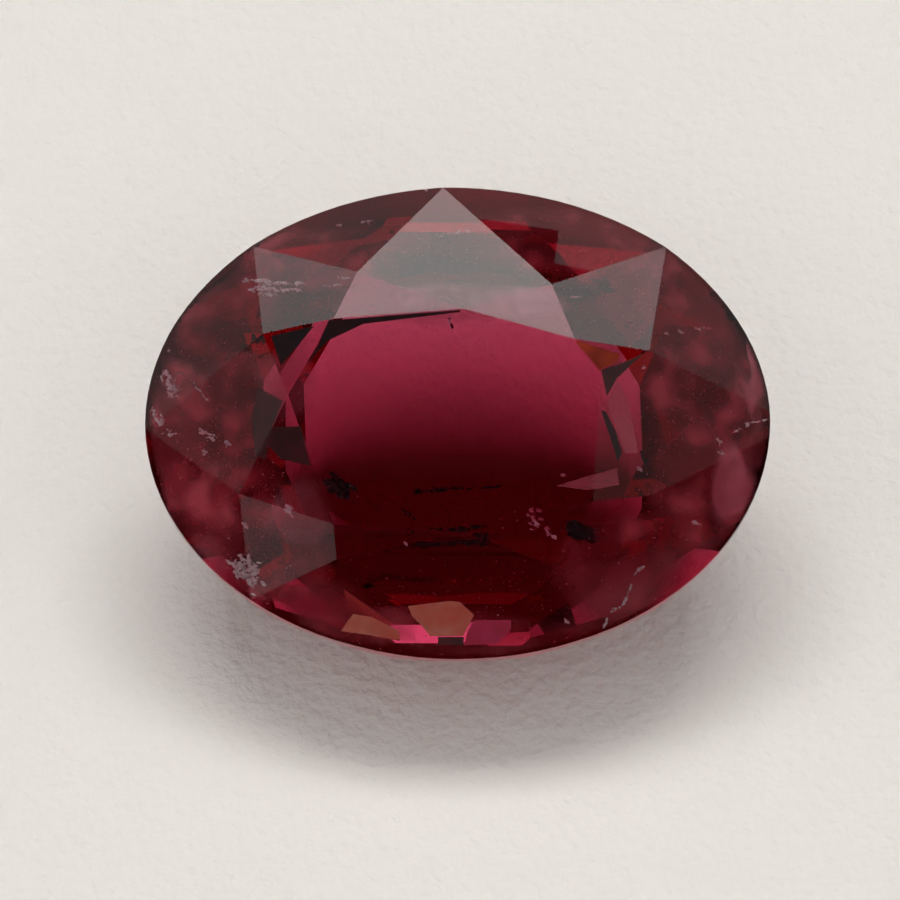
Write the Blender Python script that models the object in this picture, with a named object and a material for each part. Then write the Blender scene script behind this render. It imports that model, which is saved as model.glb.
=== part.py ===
"""
A loose oval gemstone, cut and polished from one red-pink tourmaline crystal.

The stone is made the way a cutter makes it.  A blank with an oval outline gets
flat cuts until only facets are left: the table, eight kite-shaped main facets,
eight stars and sixteen girdle breaks on the crown, and steps of long facets on
the pavilion, which close in a long keel under the table.  The finished stone is
then laid on the flat facet beside the keel, as a loose stone comes to rest.

Metres, +Z up.  The origin is at the bottom centre of the bounding box.
While it is cut, the stone has X along its length, Y across it and +Z out of the
table, with the upper edge of the girdle at Z = 0.
"""

import math

import bmesh
import bpy
from mathutils import Matrix, Vector

MM = 0.001

# ---------------------------------------------------------------- sizes
LENGTH = 8.00 * MM            # long axis of the girdle outline
WIDTH = 6.10 * MM             # short axis of the girdle outline
CROWN_HEIGHT = 0.82 * MM      # girdle's upper edge to the table
GIRDLE_THICKNESS = 0.22 * MM
BLANK_SIDES = 96              # sides of the oval blank, so the girdle reads as a curve

# ---------------------------------------------------------------- crown
# Main facets, anticlockwise from the +X end.  Each row: where the kite touches the
# girdle and where it meets the table's corner, as fractions of the half length
# and half width, and the direction that the facet faces, in degrees.
MAINS = (((1.080, -0.010), (0.456, 0.176), 0.0),
         ((0.670, 0.747), (0.373, 0.315), 55.4),
         ((-0.046, 0.997), (0.018, 0.442), 86.3),
         ((-0.654, 0.747), (-0.395, 0.400), 123.5),
         ((-0.996, -0.030), (-0.539, 0.079), 172.0),
         ((-0.660, -0.750), (-0.395, -0.466), -124.0),
         ((0.060, -0.997), (0.020, -0.500), -92.0),
         ((0.680, -0.733), (0.430, -0.370), -52.0))
BREAK_DROP = 0.10 * MM        # how far the +Y breaks dip below the girdle's upper edge
BREAK_RISE = 0.03 * MM        # how far the -Y breaks stay above it
STAR_LIFT = 0.75              # height of the star tips, as a part of the crown height

# ---------------------------------------------------------------- pavilion
# The keel lies off the middle, nearer the -Y side, so that side is cut steeper.
# Steps from the girdle inward.  Each row: number of facets round the stone, mean
# angle from the girdle plane in degrees, how much steeper the -Y side is than
# that, and where the step starts, as a part of the outline.
STEPS = ((14, 56.0, 6.0, 1.00),
         (12, 50.0, 4.4, 0.80))
KEEL_DEPTH = 2.80 * MM        # girdle's lower edge to the keel
KEEL_OFFSET = -0.50 * MM
RESTING_SLOPE = 22.0          # of the facet beside the keel, which the stone lies on
# The facets that close the pavilion.  Each row: direction it faces, angle from the
# girdle plane in degrees, and the point of the resting facet's plane that it runs
# through, in mm.
LAST = ((90.0, 34.5, (0.0, -0.50)),
        (184.0, 52.0, (-1.9, -0.50)))


def on_outline(angle, height=0.0):
    """A point of the oval outline at a parameter angle."""
    return Vector((0.5 * LENGTH * math.cos(angle), 0.5 * WIDTH * math.sin(angle), height))


def plan(fractions, height):
    """A point given by fractions of the half length and half width."""
    return Vector((0.5 * LENGTH * fractions[0], 0.5 * WIDTH * fractions[1], height))


def parameter(point):
    """The parameter angle of a point's direction on the oval outline."""
    return math.atan2(point.y / WIDTH, point.x / LENGTH)


def reach(direction):
    """How far the oval outline reaches in a direction (its support distance)."""
    return math.hypot(0.5 * LENGTH * math.cos(direction), 0.5 * WIDTH * math.sin(direction))


def plane_through(a, b, c):
    """A cut through three points, as (point, outward normal)."""
    normal = (b - a).cross(c - a).normalized()
    if normal.dot(a - Vector((0.0, 0.0, -0.2 * WIDTH))) < 0.0:
        normal.negate()
    return a, normal


def main_cut(girdle, corner, facing):
    """The kite that holds its girdle point and table corner and faces one way."""
    low, high = plan(girdle, 0.0), plan(corner, CROWN_HEIGHT)
    way = Vector((math.cos(math.radians(facing)), math.sin(math.radians(facing)), 0.0))
    run = (low - high).dot(way)
    return high, (way * CROWN_HEIGHT + Vector((0.0, 0.0, run))).normalized()


def meet(cut_a, cut_b, height):
    """Where two cuts cross at a given height."""
    (pa, na), (pb, nb) = cut_a, cut_b
    rows = Matrix(((na.x, na.y, na.z), (nb.x, nb.y, nb.z), (0.0, 0.0, 1.0)))
    return rows.inverted() @ Vector((na.dot(pa), nb.dot(pb), height))


def crown_cuts():
    cuts = [(Vector((0.0, 0.0, CROWN_HEIGHT)), Vector((0.0, 0.0, 1.0)))]
    mains = [main_cut(*row) for row in MAINS]
    cuts += mains
    for i in range(len(MAINS)):
        j = (i + 1) % len(MAINS)
        tip = meet(mains[i], mains[j], STAR_LIFT * CROWN_HEIGHT)
        cuts.append(plane_through(plan(MAINS[i][1], CROWN_HEIGHT), plan(MAINS[j][1], CROWN_HEIGHT), tip))
        start, stop = plan(MAINS[i][0], 0.0), plan(MAINS[j][0], 0.0)
        a, b = parameter(start), parameter(stop)
        if b < a:
            b += 2.0 * math.pi
        middle = on_outline(0.5 * (a + b))
        middle.z = -BREAK_DROP if middle.y > 0.0 else BREAK_RISE
        cuts.append(plane_through(tip, start, middle))
        cuts.append(plane_through(tip, middle, stop))
    return cuts


def slope_of(step, facing):
    _, mean, lean, _ = STEPS[step]
    return math.radians(mean - lean * math.sin(facing))


def pavilion_cut(facing, slope, distance, depth):
    """A cut facing outward and down, through a point at a distance and depth."""
    way = Vector((math.cos(facing), math.sin(facing), 0.0))
    return (way * distance - Vector((0.0, 0.0, GIRDLE_THICKNESS + depth)),
            way * math.sin(slope) - Vector((0.0, 0.0, math.cos(slope))))


def pavilion_cuts():
    """The resting facet first, then the facets that close in the keel, then the steps."""
    rise = math.tan(math.radians(RESTING_SLOPE))
    cuts = [pavilion_cut(-0.5 * math.pi, math.radians(RESTING_SLOPE), -KEEL_OFFSET, KEEL_DEPTH)]
    for facing, slope, (x, y) in LAST:
        facing = math.radians(facing)
        distance = x * MM * math.cos(facing) + y * MM * math.sin(facing)
        depth = KEEL_DEPTH + (y * MM - KEEL_OFFSET) * rise
        cuts.append(pavilion_cut(facing, math.radians(slope), distance, depth))
    for step, (count, _, _, start) in enumerate(STEPS):
        for k in range(count):
            turn = 2.0 * math.pi * k / count - 0.5 * math.pi
            facing = math.atan2(math.sin(turn) * LENGTH, math.cos(turn) * WIDTH)
            depth = 0.0
            for upper in range(step):
                depth += ((STEPS[upper][3] - STEPS[upper + 1][3]) * reach(facing)
                          * math.tan(slope_of(upper, facing)))
            cuts.append(pavilion_cut(facing, slope_of(step, facing), start * reach(facing), depth))
    return cuts


def clear_scene():
    for obj in list(bpy.data.objects):
        bpy.data.objects.remove(obj, do_unlink=True)


def oval_blank():
    """An upright oval cylinder, taller than the finished stone."""
    bm = bmesh.new()
    tall = 3.0 * WIDTH
    bmesh.ops.create_cone(bm, cap_ends=True, cap_tris=False, segments=BLANK_SIDES,
                          radius1=0.5, radius2=0.5, depth=tall)
    bmesh.ops.scale(bm, vec=Vector((LENGTH, WIDTH, 1.0)), verts=bm.verts)
    return bm


def cut(bm, point, normal):
    """Grind one flat: everything beyond the plane goes, and the face is closed."""
    sides = [normal.dot(v.co - point) for v in bm.verts]
    if max(sides) < 1e-7:
        return
    geometry = bm.verts[:] + bm.edges[:] + bm.faces[:]
    bmesh.ops.bisect_plane(bm, geom=geometry, dist=1e-8, plane_co=point, plane_no=normal,
                           clear_outer=True, clear_inner=False)
    rim = [e for e in bm.edges if e.is_boundary]
    if rim:
        bmesh.ops.edgeloop_fill(bm, edges=rim)


def gem_material():
    mat = bpy.data.materials.new("tourmaline_red_pink")
    mat.use_nodes = True
    shader = mat.node_tree.nodes["Principled BSDF"]
    shader.inputs["Base Color"].default_value = (0.32, 0.035, 0.075, 1.0)
    shader.inputs["Roughness"].default_value = 0.03
    shader.inputs["Metallic"].default_value = 0.0
    shader.inputs["IOR"].default_value = 1.63
    mat.diffuse_color = (0.32, 0.035, 0.075, 1.0)
    return mat


def build():
    clear_scene()
    stone = oval_blank()
    pavilion = pavilion_cuts()
    for point, normal in crown_cuts() + pavilion:
        cut(stone, point, normal)
    bmesh.ops.remove_doubles(stone, verts=stone.verts, dist=2e-6)
    bmesh.ops.dissolve_degenerate(stone, edges=stone.edges, dist=1e-6)

    # Lay the stone on the facet beside the keel, long axis along X, table towards -Y.
    down = pavilion[0][1]
    lay = down.rotation_difference(Vector((0.0, 0.0, -1.0))).to_matrix()
    axis = lay @ Vector((1.0, 0.0, 0.0))
    yaw = Matrix.Rotation(-math.atan2(axis.y, axis.x), 3, 'Z')
    bmesh.ops.transform(stone, matrix=(yaw @ lay).to_4x4(), verts=stone.verts)
    low = Vector([min(v.co[i] for v in stone.verts) for i in range(3)])
    high = Vector([max(v.co[i] for v in stone.verts) for i in range(3)])
    bmesh.ops.translate(stone, vec=Vector((-0.5 * (low.x + high.x), -0.5 * (low.y + high.y), -low.z)),
                        verts=stone.verts)
    bmesh.ops.recalc_face_normals(stone, faces=stone.faces)

    mesh = bpy.data.meshes.new("tourmaline_gemstone")
    stone.to_mesh(mesh)
    stone.free()
    mesh.materials.append(gem_material())
    obj = bpy.data.objects.new("tourmaline_gemstone", mesh)
    collection = bpy.data.collections.new("tourmaline_gemstone")
    bpy.context.scene.collection.children.link(collection)
    collection.objects.link(obj)
    return obj


build()
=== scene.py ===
import math
import random

import bpy
from mathutils import Matrix, Vector, noise


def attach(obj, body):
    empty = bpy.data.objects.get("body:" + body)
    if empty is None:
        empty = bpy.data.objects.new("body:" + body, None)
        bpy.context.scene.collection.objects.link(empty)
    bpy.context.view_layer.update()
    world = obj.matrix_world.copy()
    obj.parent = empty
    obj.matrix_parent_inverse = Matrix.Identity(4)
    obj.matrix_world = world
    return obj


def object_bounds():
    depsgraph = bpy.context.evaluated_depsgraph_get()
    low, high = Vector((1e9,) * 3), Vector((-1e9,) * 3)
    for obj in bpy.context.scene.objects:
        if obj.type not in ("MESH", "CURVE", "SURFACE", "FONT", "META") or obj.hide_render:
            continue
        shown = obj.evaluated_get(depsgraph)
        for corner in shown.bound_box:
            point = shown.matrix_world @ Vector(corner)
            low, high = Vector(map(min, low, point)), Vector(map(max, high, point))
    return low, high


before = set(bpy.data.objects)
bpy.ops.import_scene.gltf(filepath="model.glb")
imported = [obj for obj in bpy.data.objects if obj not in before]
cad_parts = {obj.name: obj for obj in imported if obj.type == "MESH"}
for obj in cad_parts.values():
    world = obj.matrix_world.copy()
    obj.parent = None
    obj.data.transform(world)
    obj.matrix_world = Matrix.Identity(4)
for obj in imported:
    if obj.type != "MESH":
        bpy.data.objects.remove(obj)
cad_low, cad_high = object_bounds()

MM = 0.001
IOR = 1.63                     # tourmaline
# absorption per metre of red, green and blue light
ABSORB = (190.0, 1020.0, 730.0)
FRAME_PX = 900                 # the picture is 900 x 900
LENGTH_PX = 625.2              # the stone's length in it
VIEW_ELEVATION = 60.0
VIEW_DISTANCE = 0.14
rng = random.Random(11)

scene = bpy.context.scene
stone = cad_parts["tourmaline_gemstone"]


# ------------------------------------------------------------------ camera
verts = [v.co.copy() for v in stone.data.vertices]
left = min(verts, key=lambda c: c.x)
right = max(verts, key=lambda c: c.x)
PIXEL = (right.x - left.x) / LENGTH_PX      # metres per pixel at the stone
elevation = math.radians(VIEW_ELEVATION)
BACK = Vector((0.0, -math.cos(elevation), math.sin(elevation)))
UP = Vector((0.0, math.sin(elevation), math.cos(elevation)))
target = (left + right) / 2 + Vector((-7.5 * PIXEL, 0.0, 0.0)) - UP * (28.0 * PIXEL)
eye = target + BACK * VIEW_DISTANCE

camera = bpy.data.cameras.new("camera")
camera_obj = bpy.data.objects.new("camera", camera)
scene.collection.objects.link(camera_obj)
camera_obj.location = eye
camera_obj.rotation_euler = (-BACK).to_track_quat('-Z', 'Y').to_euler()
camera.sensor_width = 36.0
camera.lens = 36.0 * VIEW_DISTANCE / (FRAME_PX * PIXEL)
camera.clip_start = 0.001
camera.clip_end = 10.0
scene.camera = camera_obj


# ------------------------------------------------------------------ the stone's planes
PLANES = []
for polygon in stone.data.polygons:
    normal = polygon.normal.copy()
    if normal.length < 0.5:
        continue
    offset = normal.dot(polygon.center)
    if not any(normal.dot(n) > 0.99999 and abs(offset - d) < 2e-6 for n, d in PLANES):
        PLANES.append((normal, offset))


def inside(point, margin):
    return all(n.dot(point) < d - margin for n, d in PLANES)


def entry(origin, way):
    """Where a straight line first meets the stone, and that facet's normal."""
    near, far, face = -1e9, 1e9, None
    for n, d in PLANES:
        run = n.dot(way)
        gap = d - n.dot(origin)
        if abs(run) < 1e-9:
            continue
        t = gap / run
        if run < 0.0:
            if t > near:
                near, face = t, n
        else:
            far = min(far, t)
    if face is None or near > far:
        return None
    return origin + way * near, face


def seat(px, py, depth):
    """A point in the crystal that shows at this pixel of the picture, so deep (mm) below the facet."""
    at = target + Vector((1.0, 0.0, 0.0)) * ((px - 450.0) * PIXEL) - UP * ((py - 450.0) * PIXEL)
    way = (at - eye).normalized()
    hit = entry(eye, way)
    if hit is None:
        return None
    point, normal = hit
    cosine = -normal.dot(way)
    ratio = 1.0 / IOR
    bent = way * ratio + normal * (ratio * cosine - math.sqrt(1.0 - ratio * ratio * (1.0 - cosine * cosine)))
    return point + bent.normalized() * (depth * MM)


# ------------------------------------------------------------------ materials
def principled(name):
    mat = bpy.data.materials.new(name)
    mat.use_nodes = True
    return mat, mat.node_tree, mat.node_tree.nodes["Principled BSDF"]


def crystal_material():
    mat, tree, shader = principled("tourmaline_crystal")
    nodes, links = tree.nodes, tree.links
    shader.inputs["Base Color"].default_value = (1.0, 1.0, 1.0, 1.0)
    shader.inputs["Transmission Weight"].default_value = 1.0
    shader.inputs["IOR"].default_value = IOR
    strongest = max(ABSORB)
    volume = nodes.new("ShaderNodeVolumeAbsorption")
    volume.inputs["Color"].default_value = tuple(1.0 - a / strongest for a in ABSORB) + (1.0,)
    volume.inputs["Density"].default_value = strongest
    links.new(volume.outputs["Volume"], nodes["Material Output"].inputs["Volume"])

    # Polishing lines and small scuffs, only just enough to soften the mirror.
    place = nodes.new("ShaderNodeTexCoord")
    scuffs = nodes.new("ShaderNodeTexNoise")
    scuffs.inputs["Scale"].default_value = 1500.0
    scuffs.inputs["Detail"].default_value = 4.0
    links.new(place.outputs["Object"], scuffs.inputs["Vector"])
    wear = nodes.new("ShaderNodeMapRange")
    wear.inputs["From Min"].default_value = 0.55
    wear.inputs["From Max"].default_value = 0.85
    wear.inputs["To Min"].default_value = 0.0
    wear.inputs["To Max"].default_value = 0.05
    links.new(scuffs.outputs["Fac"], wear.inputs["Value"])
    # The girdle is less well polished: its wall stands square to the table.
    table = max(stone.data.polygons, key=lambda p: p.area if p.normal.z > 0.8 else 0.0).normal
    facing = nodes.new("ShaderNodeNewGeometry")
    dot = nodes.new("ShaderNodeVectorMath")
    dot.operation = 'DOT_PRODUCT'
    dot.inputs[1].default_value = table
    links.new(facing.outputs["True Normal"], dot.inputs[0])
    size = nodes.new("ShaderNodeMath")
    size.operation = 'ABSOLUTE'
    links.new(dot.outputs["Value"], size.inputs[0])
    wall = nodes.new("ShaderNodeMapRange")
    wall.inputs["From Min"].default_value = 0.02
    wall.inputs["From Max"].default_value = 0.06
    wall.inputs["To Min"].default_value = 0.12
    wall.inputs["To Max"].default_value = 0.0
    links.new(size.outputs["Value"], wall.inputs["Value"])
    rough = nodes.new("ShaderNodeMath")
    rough.operation = 'MAXIMUM'
    links.new(wear.outputs["Result"], rough.inputs[0])
    links.new(wall.outputs["Result"], rough.inputs[1])
    links.new(rough.outputs["Value"], shader.inputs["Roughness"])
    return mat


def inclusion_material(name, tint, deep, scale, alpha=(1.0, 1.0)):
    """Broken, light-scattering crystal, and also the flat colours of the painted flashes and painted shade: colour and
    cover vary from place to place.
    """
    mat, tree, shader = principled(name)
    nodes, links = tree.nodes, tree.links
    place = nodes.new("ShaderNodeTexCoord")
    spots = nodes.new("ShaderNodeTexNoise")
    spots.inputs["Scale"].default_value = scale
    spots.inputs["Detail"].default_value = 1.5
    spots.inputs["Roughness"].default_value = 0.65
    links.new(place.outputs["Object"], spots.inputs["Vector"])
    ramp = nodes.new("ShaderNodeValToRGB")
    ramp.color_ramp.elements[0].position = 0.35
    ramp.color_ramp.elements[0].color = deep + (1.0,)
    ramp.color_ramp.elements[1].position = 0.65
    ramp.color_ramp.elements[1].color = tint + (1.0,)
    links.new(spots.outputs["Fac"], ramp.inputs["Fac"])
    links.new(ramp.outputs["Color"], shader.inputs["Base Color"])
    shader.inputs["Roughness"].default_value = 0.45
    if alpha != (1.0, 1.0):
        cover = nodes.new("ShaderNodeMapRange")
        cover.interpolation_type = 'SMOOTHSTEP'
        cover.inputs["From Min"].default_value = 0.42
        cover.inputs["From Max"].default_value = 0.72
        cover.inputs["To Min"].default_value = alpha[0]
        cover.inputs["To Max"].default_value = alpha[1]
        links.new(spots.outputs["Fac"], cover.inputs["Value"])
        fade = nodes.new("ShaderNodeAttribute")      # thins out towards the sheet's edge
        fade.attribute_name = "fade"
        thin = nodes.new("ShaderNodeMath")
        thin.operation = 'MULTIPLY'
        links.new(cover.outputs["Result"], thin.inputs[0])
        links.new(fade.outputs["Fac"], thin.inputs[1])
        links.new(thin.outputs["Value"], shader.inputs["Alpha"])
    return mat


CRYSTAL = crystal_material()
FLECK = inclusion_material("inclusion_white", (1.00, 0.95, 0.96), (0.95, 0.78, 0.82), 9000.0)
DUST = inclusion_material("inclusion_dust", (0.97, 0.74, 0.79), (0.85, 0.42, 0.50), 5000.0)
VEIL = inclusion_material("inclusion_veil", (1.00, 0.21, 0.26), (0.72, 0.07, 0.10), 1600.0, (0.30, 1.0))
PINK_VEIL = inclusion_material("inclusion_pink_veil", (0.98, 0.52, 0.58), (0.85, 0.26, 0.32), 1600.0, (0.45, 1.0))
# Rose: for the rose veils, and for the painted flash of the rose film.
ROSE_VEIL_AND_PAINTED_FLASH = inclusion_material("inclusion_rose_veil_and_painted_flash", (1.00, 0.31, 0.39), (0.95, 0.22, 0.30), 1600.0, (0.80, 1.0))
# Dark inclusion colour, also used as painted shade for the black film and the keel marks.
DARK_AND_PAINTED_SHADE = inclusion_material("inclusion_dark_and_painted_shade", (0.030, 0.004, 0.004), (0.006, 0.002, 0.002), 5000.0)
# Painted shade: a dark red for the dark red film below.
PAINTED_SHADE_DARK_RED = inclusion_material("painted_shade_dark_red", (0.11, 0.012, 0.012), (0.06, 0.010, 0.008), 3000.0)
MAROON_VEIL = inclusion_material("inclusion_maroon_veil", (0.55, 0.07, 0.09), (0.36, 0.03, 0.045), 1600.0, (0.80, 1.0))
# Painted flashes along the near rim, in warm orange and in magenta.
PAINTED_FLASH_WARM = inclusion_material("painted_flash_warm", (1.00, 0.38, 0.25), (1.00, 0.22, 0.13), 3000.0)
PAINTED_FLASH_MAGENTA = inclusion_material("painted_flash_magenta", (0.90, 0.05, 0.20), (0.75, 0.03, 0.12), 3000.0)
# Painted flash in orange, for the film at the window's upper right.
PAINTED_FLASH_ORANGE = inclusion_material("painted_flash_orange", (0.85, 0.13, 0.03), (0.55, 0.07, 0.02), 3000.0)

stone.data.materials.clear()
stone.data.materials.append(CRYSTAL)


# ------------------------------------------------------------------ inclusions, and patches of painted flashes and shade
def piece(name, points, faces, material):
    mesh = bpy.data.meshes.new(name)
    mesh.from_pydata([tuple(p) for p in points], [], faces)
    mesh.validate()
    mesh.materials.append(material)
    obj = bpy.data.objects.new(name, mesh)
    scene.collection.objects.link(obj)
    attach(obj, "root")
    return obj


def unit():
    while True:
        v = Vector((rng.uniform(-1, 1), rng.uniform(-1, 1), rng.uniform(-1, 1)))
        if 0.05 < v.length < 1.0:
            return v.normalized()


def shard(points, faces, centre, size, along=None, stretch=1.0, face_view=0.0):
    """One small splinter: an irregular flat-sided sliver of crystal, thin but closed."""
    normal = (unit() * (1.0 - face_view) + BACK * face_view).normalized()
    u = (along if along is not None else unit())
    u = (u - normal * u.dot(normal))
    if u.length < 1e-3:
        return
    u.normalize()
    w = normal.cross(u)
    count = rng.choice((4, 5, 6))
    turn = rng.uniform(0, 2 * math.pi)
    ring = []
    for k in range(count):
        a = turn + 2 * math.pi * k / count + rng.uniform(-0.35, 0.35)
        r = size * rng.uniform(0.6, 1.15)
        ring.append(centre + u * (math.cos(a) * r * stretch) + w * (math.sin(a) * r))
    tip = centre + normal * (size * rng.uniform(0.15, 0.3))
    tail = centre - normal * (size * rng.uniform(0.15, 0.3))
    if not all(inside(p, 0.004 * MM) for p in ring + [tip, tail]):
        return
    base = len(points)
    points.extend(ring + [tip, tail])
    for k in range(count):
        nxt = (k + 1) % count
        faces.append((base + k, base + nxt, base + count))
        faces.append((base + nxt, base + k, base + count + 1))


# Flecks that show as separate bright marks.  Each row: the two ends of the mark in
# the picture (px), how deep it lies (mm), how wide it is (px), how many splinters
# it has, and the size of a splinter (mm).
MARKS = (
    (243, 281, 268, 280, 0.10, 1.5, 22, 0.016), (262, 284, 303, 283, 0.12, 1.8, 34, 0.018),
    (248, 289, 300, 290, 0.14, 2.5, 40, 0.017), (255, 294, 282, 295, 0.16, 1.2, 12, 0.014),
    (338, 278, 350, 278, 0.12, 1.0, 9, 0.014), (323, 286, 345, 284, 0.14, 1.0, 12, 0.013),
    (337, 225, 343, 225, 0.10, 0.8, 5, 0.014), (357, 223, 372, 221, 0.10, 1.0, 10, 0.015),
    (425, 190, 427, 190, 0.05, 0.8, 4, 0.018), (438, 236, 475, 230, 0.20, 2.5, 16, 0.011),
    (568, 297, 583, 297, 0.20, 1.0, 8, 0.012), (166, 350, 170, 351, 0.10, 1.0, 4, 0.014),
    (164, 372, 177, 398, 0.12, 6.0, 40, 0.019), (190, 378, 207, 400, 0.12, 0.8, 20, 0.010),
    (150, 412, 174, 436, 0.12, 6.0, 32, 0.016), (199, 428, 214, 439, 0.14, 3.0, 20, 0.016),
    (203, 451, 206, 454, 0.14, 2.0, 7, 0.016), (225, 442, 229, 445, 0.15, 2.0, 7, 0.015),
    (243, 524, 247, 527, 0.20, 2.0, 7, 0.015), (286, 510, 291, 514, 0.25, 2.5, 9, 0.015),
    (236, 562, 254, 584, 0.08, 8.0, 90, 0.020), (244, 558, 256, 572, 0.07, 5.0, 46, 0.022),
    (403, 542, 407, 544, 0.40, 1.5, 5, 0.013), (525, 518, 550, 534, 0.70, 7.0, 26, 0.016),
    (565, 621, 569, 623, 0.10, 1.5, 5, 0.015), (642, 567, 633, 576, 0.10, 1.0, 14, 0.013),
    (632, 585, 624, 603, 0.10, 1.2, 20, 0.014), (624, 603, 610, 613, 0.10, 1.2, 14, 0.013),
    (608, 615, 604, 628, 0.10, 1.0, 12, 0.013), (634, 620, 637, 624, 0.10, 1.5, 6, 0.016),
    (693, 521, 697, 525, 0.15, 2.0, 7, 0.015), (638, 468, 642, 472, 0.25, 2.0, 6, 0.014),
    (716, 438, 720, 442, 0.15, 2.0, 6, 0.014), (719, 451, 722, 453, 0.15, 1.5, 5, 0.013),
    (735, 432, 750, 423, 0.10, 0.9, 16, 0.012), (750, 423, 766, 420, 0.06, 0.9, 12, 0.010),
    (665, 334, 669, 334, 0.20, 1.2, 5, 0.014), (679, 331, 683, 333, 0.20, 1.2, 5, 0.013),
    (642, 366, 646, 368, 0.25, 1.5, 5, 0.013), (690, 329, 720, 328, 0.25, 1.5, 14, 0.010),
    (449, 321, 451, 325, 0.30, 1.5, 5, 0.013), (562, 474, 564, 476, 0.50, 1.0, 4, 0.013),
)
points, faces = [], []
for x0, y0, x1, y1, depth, wide, count, size in MARKS:
    start, stop = seat(x0, y0, depth), seat(x1, y1, depth)
    if start is None or stop is None:
        continue
    along = (stop - start)
    along = along.normalized() if along.length > 5e-6 else None
    for _ in range(count):
        t = rng.random()
        px = x0 + (x1 - x0) * t + rng.gauss(0.0, 0.5 * wide)
        py = y0 + (y1 - y0) * t + rng.gauss(0.0, 0.5 * wide)
        at = seat(px, py, depth * rng.uniform(0.7, 1.6))
        if at is not None:
            shard(points, faces, at, size * MM * rng.uniform(0.8, 2.1), along, rng.uniform(1.0, 2.2), 0.45)
flecks = piece("inclusion_flecks", points, faces, FLECK)

# Dark hollows and needles, and painted shade along the keel, in the same terms.
DARK_MARKS = (
    (332, 482, 346, 492, 0.60, 6.0, 50, 0.038), (572, 526, 594, 537, 0.60, 7.0, 80, 0.040),
    # The next two rows and the first row on the line after are painted shade: dark splinters that draw the shaded keel
    # and resting facet seen through the table.
    (412, 493, 450, 489, 1.20, 1.6, 44, 0.018), (450, 489, 500, 487, 1.20, 1.2, 40, 0.016),
    (420, 545, 488, 541, 0.80, 2.2, 70, 0.020), (402, 510, 416, 520, 1.00, 1.5, 10, 0.014),
    (448, 316, 452, 327, 0.30, 1.0, 8, 0.014), (640, 452, 650, 470, 0.40, 2.0, 12, 0.020),
)
points, faces = [], []
for x0, y0, x1, y1, depth, wide, count, size in DARK_MARKS:
    start, stop = seat(x0, y0, depth), seat(x1, y1, depth)
    along = (stop - start).normalized()
    for _ in range(count):
        t = rng.random()
        px = x0 + (x1 - x0) * t + rng.gauss(0.0, 0.5 * wide)
        py = y0 + (y1 - y0) * t + rng.gauss(0.0, 0.5 * wide)
        at = seat(px, py, depth * rng.uniform(0.8, 1.2))
        if at is not None:
            shard(points, faces, at, size * MM * rng.uniform(0.6, 1.4), along, rng.uniform(1.2, 2.6), 0.7)
dark_spots_and_keel_shade = piece("inclusion_dark_spots_and_keel_shade", points, faces, DARK_AND_PAINTED_SHADE)


def painted_light_films(name, rows, material, strength=1.0):
    """Flat, straight-edged patches, thin but closed, lying under a facet: painted flashes and painted shade that stand
    in for what the facets refract and mirror.

    Each row: depth (mm) and the film's corners in the picture (px)."""
    points, faces = [], []
    for depth, corners in rows:
        ring = [seat(px, py, depth) for px, py in corners]
        if any(p is None or not inside(p, 0.02 * MM) for p in ring):
            continue
        middle = sum(ring, Vector()) / len(ring)
        turning = sum(((a - middle).cross(b - middle).dot(BACK)
                       for a, b in zip(ring, ring[1:] + ring[:1])), 0.0)
        if turning < 0.0:
            ring.reverse()
        base, count = len(points), len(ring)
        points.extend(ring + [p - BACK * (0.006 * MM) for p in ring])
        faces.append(tuple(base + k for k in range(count)))
        faces.append(tuple(base + count + k for k in reversed(range(count))))
        for k in range(count):
            nxt = (k + 1) % count
            faces.append((base + nxt, base + k, base + count + k, base + count + nxt))
    obj = piece(name, points, faces, material)
    obj.data.attributes.new("fade", 'FLOAT', 'POINT').data.foreach_set("value", [strength] * len(points))
    return obj


# Painted shade: black patches along the table's edges and the window's right edge.
painted_light_films("painted_shade_film_black", (
    (0.12, ((271, 336), (314, 326), (281, 366))),
    (0.12, ((329, 320), (460, 310), (460, 312), (363, 324))),
    (0.12, ((329, 320), (363, 324), (327, 341), (307, 364), (318, 344))),
    (0.15, ((601, 410), (606, 412), (615, 430), (622, 452), (618, 462), (611, 440))),
), DARK_AND_PAINTED_SHADE)
# Painted shade: dark red patches beside the window and along the near rim.
painted_light_films("painted_shade_film_dark_red", (
    (0.20, ((258, 388), (283, 401), (274, 426), (265, 460), (255, 454), (252, 418))),
    (0.20, ((275, 427), (301, 426), (311, 466), (281, 459), (267, 444))),
    (0.15, ((600, 371), (630, 359), (643, 354), (617, 378), (607, 396))),
    (0.10, ((438, 637), (464, 637), (463, 645), (438, 645))),
), PAINTED_SHADE_DARK_RED)
# Painted flash: an orange patch at the window's upper right.
painted_light_films("painted_flash_film_orange", (
    (0.12, ((575, 341), (620, 354), (617, 362), (600, 370))),
), PAINTED_FLASH_ORANGE)
# Painted flashes: orange and pink patches along the near rim.
painted_light_films("painted_flash_film_near_orange", (
    (0.10, ((341, 631), (353, 614), (372, 617), (399, 631), (400, 641), (370, 635))),
    (0.09, ((408, 606), (450, 601), (460, 602), (474, 615), (463, 636), (430, 636), (421, 625), (412, 616))),
), PAINTED_FLASH_WARM)
# Painted flash: a magenta patch along the near rim.
painted_light_films("painted_flash_film_near_magenta", (
    (0.10, ((475, 620), (511, 620), (511, 629), (498, 644), (464, 645), (468, 630))),
), PAINTED_FLASH_MAGENTA)
# Painted flashes: faint rose patches at the window's right edge and lower right.
painted_light_films("painted_flash_film_rose", (
    (0.15, ((617, 379), (630, 407), (638, 453), (625, 453), (607, 404))),
    (0.20, ((556, 486), (617, 468), (619, 485), (588, 490))),
), ROSE_VEIL_AND_PAINTED_FLASH, 0.45)

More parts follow.
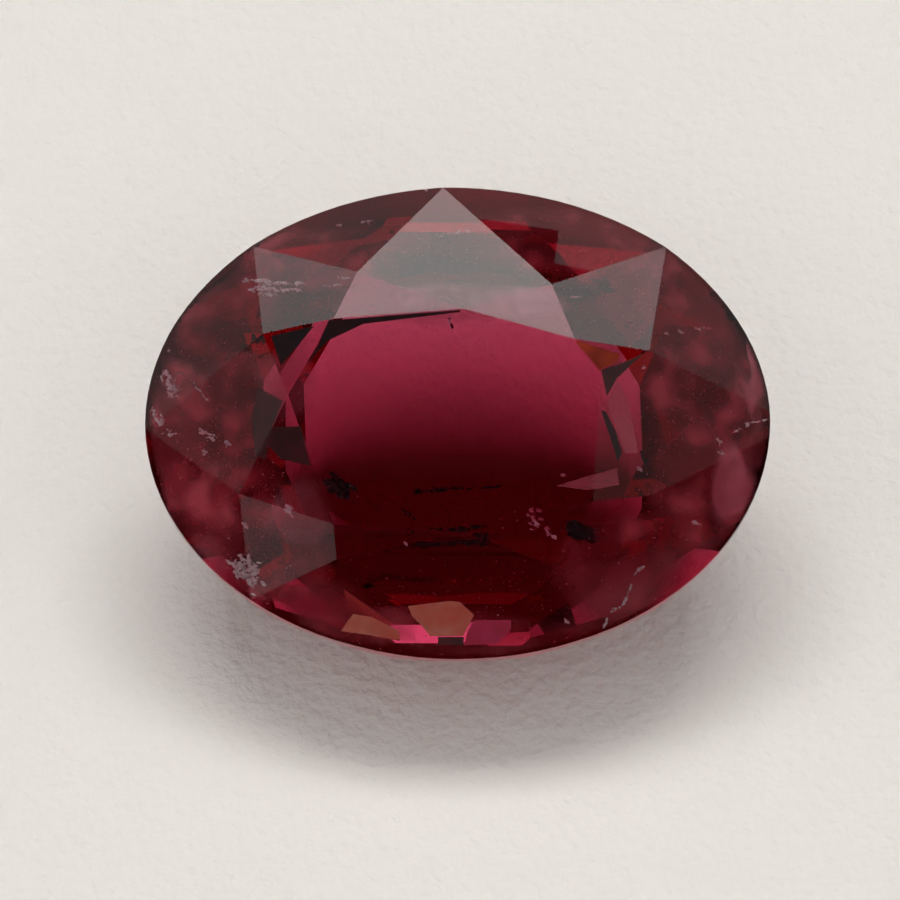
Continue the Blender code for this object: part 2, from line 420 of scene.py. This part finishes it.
# Dust: thousands of tiny splinters.  Where each stretch of the crystal is hazy.
# Each row: centre (mm from the stone's middle), reach (mm), how many, size (mm).
middle = (cad_low + cad_high) / 2
HAZE = (
    ((-3.0, 0.0, 0.3), (0.9, 1.8, 0.9), 900, 0.011),
    ((-2.2, -1.2, 0.2), (0.9, 1.0, 0.8), 420, 0.011),
    ((-1.8, 1.8, 0.6), (1.2, 0.8, 0.6), 420, 0.011),
    ((1.4, 2.0, 0.7), (1.6, 0.7, 0.5), 420, 0.011),
    ((2.9, 0.4, 0.3), (0.9, 1.6, 0.9), 600, 0.011),
    ((1.8, -1.6, 0.0), (1.3, 0.8, 0.7), 350, 0.011),
    ((-0.4, -2.1, -0.3), (1.4, 0.6, 0.5), 260, 0.011),
)
points, faces = [], []
for centre, reach, count, size in HAZE:
    for _ in range(count):
        at = middle + Vector([(c + rng.gauss(0.0, 0.55) * r) * MM for c, r in zip(centre, reach)])
        if inside(at, 0.03 * MM):
            shard(points, faces, at, size * MM * rng.uniform(0.5, 1.3))
dust = piece("inclusion_dust", points, faces, DUST)


def depth_in(point):
    """How far a point lies inside the nearest facet."""
    return min(d - n.dot(point) for n, d in PLANES)


def smooth(t):
    t = max(0.0, min(1.0, t))
    return t * t * (3.0 - 2.0 * t)


# Healed fractures and silk: thin curved sheets, patchy, that fade out to their edges.
def veil(name, px, py, depth, width, height, lean, turn, seed, strength, material=VEIL):
    centre = seat(px, py, depth)
    steps = 28
    facing = (BACK + Vector((math.sin(turn), 0.0, math.cos(turn))) * lean).normalized()
    u = Vector((1.0, 0.0, 0.0))
    u = (u - facing * u.dot(facing)).normalized()
    w = facing.cross(u)
    grid, fades, made = [], [], []
    for j in range(steps + 1):
        for i in range(steps + 1):
            a, b = i / steps - 0.5, j / steps - 0.5
            swell = noise.noise(Vector((a * 2.2, b * 2.2, seed))) * 0.20 * MM
            edge = 1.0 + 0.35 * noise.noise(Vector((a * 3.0, b * 3.0, seed + 7.0)))
            at = centre + u * (a * width * MM) + w * (b * height * MM) + facing * swell
            grid.append(at)
            fades.append(strength * smooth((1.0 - 2.0 * math.hypot(a, b) / edge) / 0.45)
                         * smooth((depth_in(at) - 0.015 * MM) / (0.10 * MM)))
    for j in range(steps):
        for i in range(steps):
            quad = (j * (steps + 1) + i, j * (steps + 1) + i + 1,
                    (j + 1) * (steps + 1) + i + 1, (j + 1) * (steps + 1) + i)
            if all(inside(grid[q], 0.012 * MM) for q in quad) and max(fades[q] for q in quad) > 0.0:
                made.append(quad)
    # One connected sheet: the largest island of it.
    near = {}
    for n, quad in enumerate(made):
        for q in quad:
            near.setdefault(q, []).append(n)
    seen, best = set(), []
    for n in range(len(made)):
        if n in seen:
            continue
        island, queue = [], [n]
        seen.add(n)
        while queue:
            one = queue.pop()
            island.append(one)
            for q in made[one]:
                for other in near[q]:
                    if other not in seen:
                        seen.add(other)
                        queue.append(other)
        if len(island) > len(best):
            best = island
    if len(best) < 12:
        return None
    keep = {}
    for n in best:
        for q in made[n]:
            keep.setdefault(q, len(keep))
    order = sorted(keep, key=keep.get)
    obj = piece(name, [grid[q] for q in order], [tuple(keep[q] for q in made[n]) for n in best], material)
    obj.data.attributes.new("fade", 'FLOAT', 'POINT').data.foreach_set("value", [fades[q] for q in order])
    for polygon in obj.data.polygons:
        polygon.use_smooth = True
    return obj


VEILS = (
    ("veil_left", 212, 420, 0.40, 2.3, 4.4, -0.5, 0.9, 1.0, 0.85),
    ("veil_left_rim", 178, 415, 0.18, 1.0, 3.2, -0.7, 1.1, 2.0, 0.80),
    ("veil_lower_left", 268, 552, 0.35, 2.2, 1.6, 0.2, -0.5, 3.0, 0.70),
    ("veil_upper_left", 320, 250, 0.30, 2.8, 1.4, 0.4, -0.4, 4.0, 0.90),
    ("veil_upper_right", 570, 240, 0.30, 3.0, 1.4, 0.4, 0.4, 5.0, 0.90),
    ("veil_left_top", 222, 300, 0.28, 1.9, 2.0, -0.2, 0.9, 12.0, 0.85),
    ("veil_left_low", 205, 520, 0.28, 1.6, 2.0, -0.5, 0.9, 13.0, 0.85),
    ("veil_right", 700, 400, 0.40, 2.0, 4.2, 0.5, 0.9, 6.0, 0.80),
    ("veil_right_top", 695, 300, 0.28, 1.9, 1.8, 0.4, 0.9, 14.0, 0.85),
    ("veil_right_low", 700, 500, 0.28, 1.8, 1.8, 0.5, 0.9, 15.0, 0.60),
    ("veil_lower_right", 640, 560, 0.35, 2.2, 1.5, 0.2, 0.5, 7.0, 0.75),
    ("veil_bottom", 440, 636, 0.20, 4.2, 0.8, 0.0, 0.0, 8.0, 0.75),
)
for row in VEILS:
    veil(*row)
veil("veil_pink_left", 172, 380, 0.10, 0.40, 0.55, -0.5, 1.1, 16.0, 0.8, PINK_VEIL)
veil("veil_pink_lower_left", 205, 560, 0.12, 0.70, 0.90, -0.3, 0.9, 17.0, 0.6, PINK_VEIL)
veil("veil_low_left", 302, 616, 0.10, 2.20, 1.20, -0.1, -0.5, 22.0, 1.00, MAROON_VEIL)
veil("veil_low_right", 645, 590, 0.10, 2.60, 1.50, 0.1, 0.6, 23.0, 1.00, MAROON_VEIL)
veil("veil_near_left", 298, 512, 0.30, 1.00, 1.00, 0.0, 0.0, 24.0, 0.50, PINK_VEIL)
veil("veil_right_rim", 750, 440, 0.10, 0.70, 1.60, 0.6, 1.2, 18.0, 0.8)
veil("veil_window_left", 284, 385, 0.40, 0.90, 1.20, 0.0, 0.0, 20.0, 0.40, ROSE_VEIL_AND_PAINTED_FLASH)
veil("veil_band", 457, 300, 0.25, 3.30, 0.60, 0.2, 0.0, 21.0, 0.85, PINK_VEIL)
veil("veil_pink_right", 752, 368, 0.10, 0.50, 1.45, 0.6, 1.2, 10.0, 0.95, ROSE_VEIL_AND_PAINTED_FLASH)
veil("veil_pink_lower_right", 733, 482, 0.14, 0.75, 1.20, 0.5, 0.9, 11.0, 0.8, ROSE_VEIL_AND_PAINTED_FLASH)


# ------------------------------------------------------------------ floor
def floor_material():
    mat, tree, shader = principled("pale_floor")
    nodes, links = tree.nodes, tree.links
    place = nodes.new("ShaderNodeNewGeometry")
    grain = nodes.new("ShaderNodeTexNoise")
    grain.inputs["Scale"].default_value = 6500.0
    grain.inputs["Detail"].default_value = 3.0
    links.new(place.outputs["Position"], grain.inputs["Vector"])
    lumps = nodes.new("ShaderNodeTexNoise")
    lumps.inputs["Scale"].default_value = 1800.0
    lumps.inputs["Detail"].default_value = 2.0
    links.new(place.outputs["Position"], lumps.inputs["Vector"])
    both = nodes.new("ShaderNodeMath")
    both.operation = 'MULTIPLY_ADD'
    both.inputs[1].default_value = 1.0
    links.new(grain.outputs["Fac"], both.inputs[0])
    links.new(lumps.outputs["Fac"], both.inputs[2])
    bump = nodes.new("ShaderNodeBump")
    bump.inputs["Strength"].default_value = 1.0
    bump.inputs["Distance"].default_value = 0.00005
    links.new(both.outputs["Value"], bump.inputs["Height"])
    links.new(bump.outputs["Normal"], shader.inputs["Normal"])
    # The light falls off away from the middle of the pad.
    away = nodes.new("ShaderNodeVectorMath")
    away.operation = 'LENGTH'
    links.new(place.outputs["Position"], away.inputs[0])
    fall = nodes.new("ShaderNodeMapRange")
    fall.interpolation_type = 'SMOOTHSTEP'
    fall.inputs["From Min"].default_value = 0.0095
    fall.inputs["From Max"].default_value = 0.0450
    fall.inputs["To Min"].default_value = 1.0
    fall.inputs["To Max"].default_value = 0.45
    links.new(away.outputs["Value"], fall.inputs["Value"])
    shade = nodes.new("ShaderNodeVectorMath")
    shade.operation = 'SCALE'
    shade.inputs[0].default_value = (0.845, 0.825, 0.79)
    links.new(fall.outputs["Result"], shade.inputs["Scale"])
    links.new(shade.outputs["Vector"], shader.inputs["Base Color"])
    shader.inputs["Roughness"].default_value = 0.85
    shader.inputs["Specular IOR Level"].default_value = 0.2
    return mat


# A hair under the stone: its resting facet and the floor must not share one plane.
bpy.ops.mesh.primitive_plane_add(size=2.0, location=(0.0, 0.0, -0.01 * MM))
floor = bpy.context.object
floor.name = "floor"
floor.data.materials.append(floor_material())


# ------------------------------------------------------------------ light
def softbox(name, facing, height, distance, wide, tall, radiance, colour=(1.0, 1.0, 1.0), seen="floor mirror inside"):
    """A soft panel that faces the stone; seen says what it shows up in."""
    light = bpy.data.lights.new(name, 'AREA')
    light.shape = 'RECTANGLE'
    light.size, light.size_y = wide, tall
    light.energy = radiance * math.pi * wide * tall
    light.color = colour
    obj = bpy.data.objects.new(name, light)
    scene.collection.objects.link(obj)
    a, e = math.radians(facing), math.radians(height)
    obj.location = Vector((math.cos(a) * math.cos(e), math.sin(a) * math.cos(e), math.sin(e))) * distance
    obj.rotation_euler = (-obj.location).to_track_quat('-Z', 'Y').to_euler()
    obj.visible_diffuse = "floor" in seen
    obj.visible_glossy = "mirror" in seen
    obj.visible_transmission = "inside" in seen
    return obj


# What the crown facets mirror: a window behind the stone, dimmer to its sides,
# and the walls under and beside it.
softbox("window", 88.0, 53.0, 0.30, 0.17, 0.10, 3.1, (1.0, 0.985, 0.96), "mirror")
softbox("window_left", 128.0, 46.0, 0.30, 0.11, 0.10, 1.4, (1.0, 0.98, 0.97), "mirror")
softbox("window_right", 50.0, 53.0, 0.30, 0.10, 0.10, 1.7, (1.0, 0.98, 0.97), "mirror")
softbox("upper_wall", 84.0, 68.0, 0.30, 0.20, 0.06, 3.0, (1.0, 0.98, 0.97), "mirror")
softbox("far_wall", 90.0, 27.0, 0.60, 0.95, 0.30, 0.45, (1.0, 0.96, 0.94), "mirror inside")
softbox("left_wall", 152.0, 31.0, 0.60, 0.36, 0.22, 0.34, (1.0, 0.96, 0.94), "mirror inside")
softbox("right_wall", 30.0, 37.0, 0.60, 0.30, 0.22, 0.32, (1.0, 0.96, 0.94), "mirror inside")
softbox("left_side", -178.0, 38.0, 0.60, 0.25, 0.30, 0.19, (1.0, 0.96, 0.94), "mirror inside")
softbox("right_side", -20.0, 47.0, 0.60, 0.25, 0.30, 0.14, (1.0, 0.96, 0.94), "mirror inside")
softbox("left_low", -123.0, 17.0, 0.50, 0.14, 0.12, 0.40, (1.0, 0.96, 0.94), "mirror inside")
# Low on the horizon behind it: these light the flashes along the near edge, which the painted flash films under the
# near crown add to.
softbox("far_strip", 86.4, 3.5, 0.50, 0.072, 0.045, 4.2, (0.43, 1.0, 0.78), "inside")
softbox("far_strip_warm", 67.0, 4.5, 0.50, 0.05, 0.045, 1.0, (0.40, 1.0, 0.25), "inside")
softbox("far_strip_right", 120.0, 3.5, 0.50, 0.12, 0.06, 0.35, (1.0, 1.0, 1.0), "inside")
# The room overhead, which the light inside the crystal comes from.
softbox("overhead", 90.0, 80.0, 0.40, 1.00, 0.90, 0.14, (1.0, 1.0, 1.0), "inside")
softbox("front_low", -90.0, 30.0, 0.50, 1.00, 0.30, 0.75, (1.0, 1.0, 1.0), "inside")
softbox("left_high", 175.0, 34.0, 0.50, 0.50, 0.26, 0.55, (1.0, 1.0, 1.0), "inside")
softbox("right_high", 5.0, 34.0, 0.50, 0.50, 0.26, 0.50, (1.0, 1.0, 1.0), "inside")
# Broad soft light on the floor.
softbox("key", 90.0, 67.5, 0.30, 0.24, 0.09, 7.6, (1.0, 0.985, 0.96), "floor")
softbox("fill_front", -90.0, 48.0, 0.50, 1.00, 0.36, 0.80, (1.0, 0.98, 0.96), "floor")
softbox("fill_left", 180.0, 48.0, 0.50, 0.50, 0.34, 0.88, (1.0, 0.98, 0.96), "floor")
softbox("fill_right", 0.0, 48.0, 0.50, 0.50, 0.34, 0.80, (1.0, 0.98, 0.96), "floor")
softbox("fill_top", 90.0, 89.0, 0.40, 0.30, 0.30, 0.50, (1.0, 0.98, 0.96), "floor")
world = bpy.data.worlds.new("room")
scene.world = world
world.use_nodes = True
world.node_tree.nodes["Background"].inputs["Color"].default_value = (1.0, 1.0, 1.0, 1.0)
world.node_tree.nodes["Background"].inputs["Strength"].default_value = 0.006

scene.cycles.max_bounces = 8
scene.cycles.glossy_bounces = 8
scene.cycles.transmission_bounces = 8
scene.cycles.transparent_max_bounces = 8
scene.cycles.caustics_refractive = True
scene.cycles.caustics_reflective = True
scene.cycles.sample_clamp_indirect = 6.0
scene.cycles.use_denoising = True
scene.cycles.use_light_tree = False
scene.view_settings.view_transform = 'Standard'
